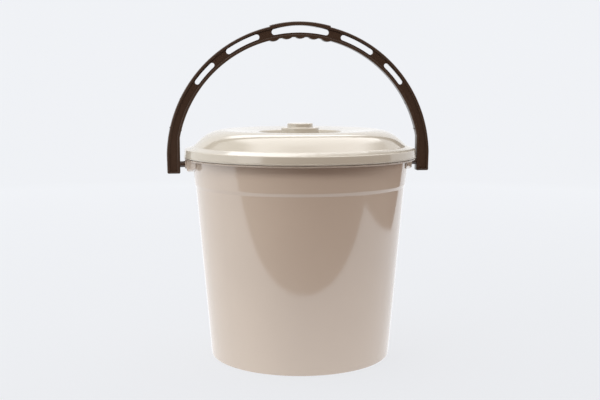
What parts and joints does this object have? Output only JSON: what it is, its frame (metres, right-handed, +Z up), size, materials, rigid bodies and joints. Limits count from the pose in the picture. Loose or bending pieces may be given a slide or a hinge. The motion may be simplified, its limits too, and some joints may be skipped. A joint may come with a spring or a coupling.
{
  "type": "wash bucket",
  "caption": "Tapered round wash bucket with a lift-off domed lid and a folding bail handle with a finger grip.",
  "frame": {"origin": "centre of the foot ring, on the surface that the bucket stands on", "axes": "+Z up, +X along the pivots of the handle, towards the right-hand ear seen from the front; -Y is the front"},
  "size_m": [0.3842, 0.336, 0.4824],
  "materials": {
    "pail_plastic": "smooth glossy greige polypropylene",
    "lid_plastic": "smooth glossy greige polypropylene",
    "handle_plastic": "satin dark brown polypropylene"
  },
  "bodies": {
    "pail": {"pail": "pail_plastic"},
    "lid": {"lid": "lid_plastic"},
    "handle": {"handle": "handle_plastic"}
  },
  "joints": [
    {"name": "handle_swing", "type": "hinge", "parent": "pail", "child": "handle", "pos_m": [0, 0, 0.28], "axis": [1, 0, 0], "range_deg": [-122, 122]},
    {"name": "lid_lift", "type": "slide", "parent": "pail", "child": "lid", "axis": [0, 0, 1], "range_m": [0, 0.03]}
  ]
}
